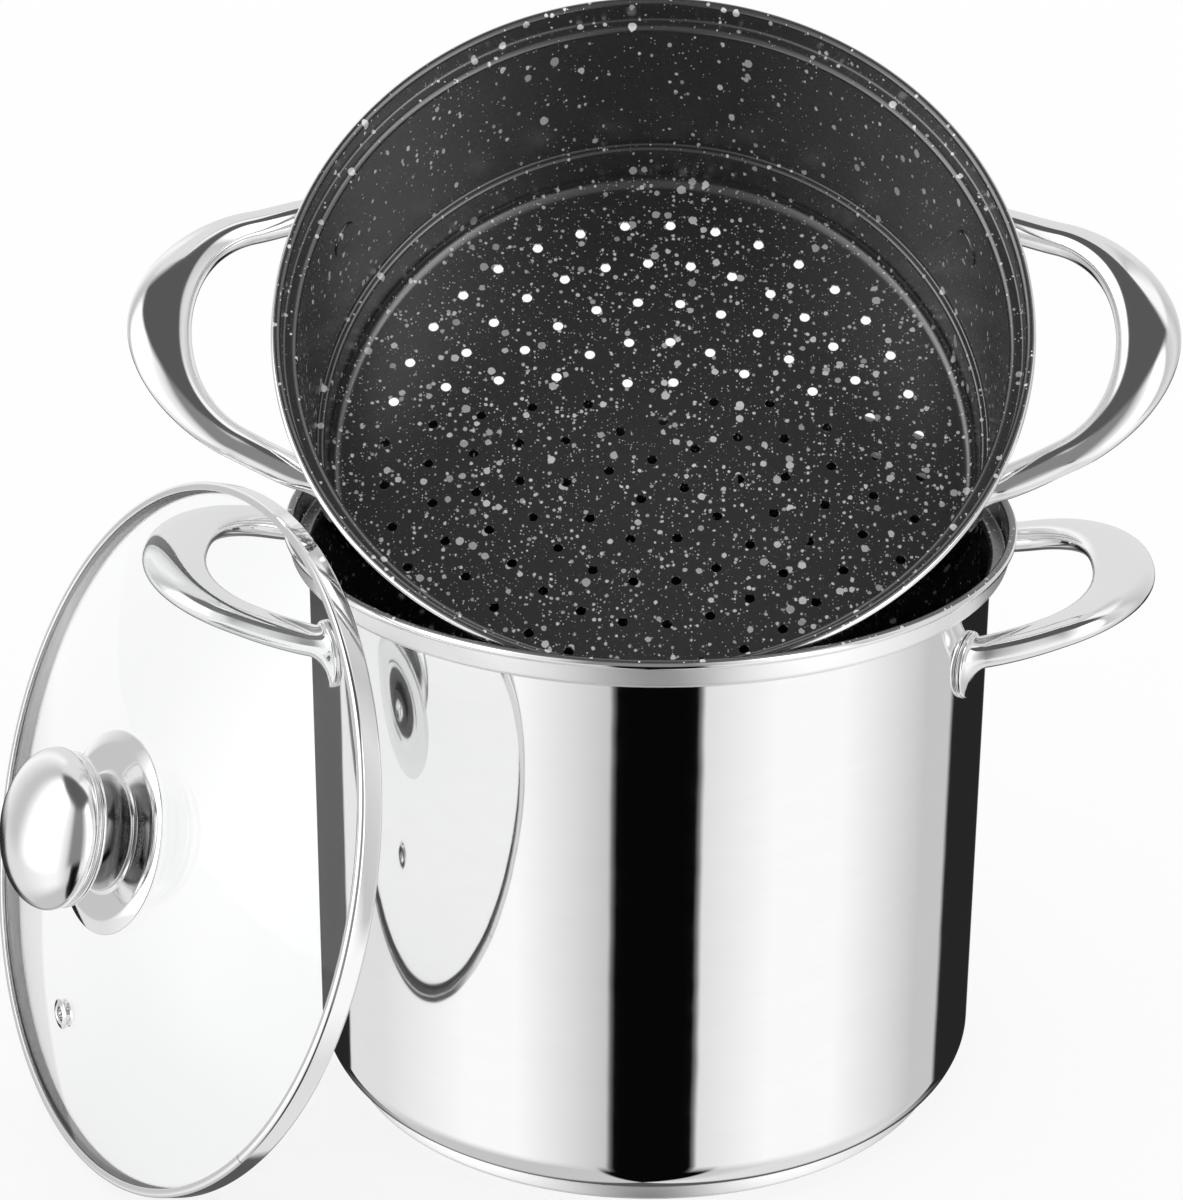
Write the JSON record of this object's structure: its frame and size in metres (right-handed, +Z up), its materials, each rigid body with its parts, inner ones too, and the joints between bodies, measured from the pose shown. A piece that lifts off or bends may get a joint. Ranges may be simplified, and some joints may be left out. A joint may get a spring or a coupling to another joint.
{
  "type": "couscoussier",
  "caption": "Stainless steel couscous steamer set: a tall stew pot, a perforated steamer leaning in its mouth and a glass lid on edge against it.",
  "frame": {"origin": "middle of the pot's flat base, on the surface it stands on", "axes": "+Z up along the pot's axis; handles along +X and -X; the steamer's open side faces -Y; the lid leans on the handle at -X"},
  "size_m": [0.4216, 0.3085, 0.3838],
  "materials": {
    "polished_steel": "mirror polished",
    "coating": "black non-stick with pale specks",
    "base_aluminium": "plain",
    "clear_glass": "clear tempered glass",
    "silicone": "smooth silicone"
  },
  "bodies": {
    "root": {"pot_body": "polished_steel", "pot_coating": "coating", "base_core": "base_aluminium", "base_cap": "polished_steel", "pot_handle_left": "polished_steel", "pot_handle_right": "polished_steel", "pot_rivets": "polished_steel", "steamer_body": "polished_steel", "steamer_coating": "coating", "steamer_handle_left": "polished_steel", "steamer_handle_right": "polished_steel", "steamer_rivets": "polished_steel", "lid_glass": "clear_glass", "lid_rim": "polished_steel", "lid_seal": "silicone", "vent_eyelet": "polished_steel", "knob_cap": "polished_steel", "knob_neck": "polished_steel", "knob_saucer": "polished_steel", "knob_insert": "base_aluminium", "knob_gasket": "silicone", "glass_gasket": "silicone", "knob_washer": "polished_steel", "knob_screw": "polished_steel"}
  },
  "joints": []
}
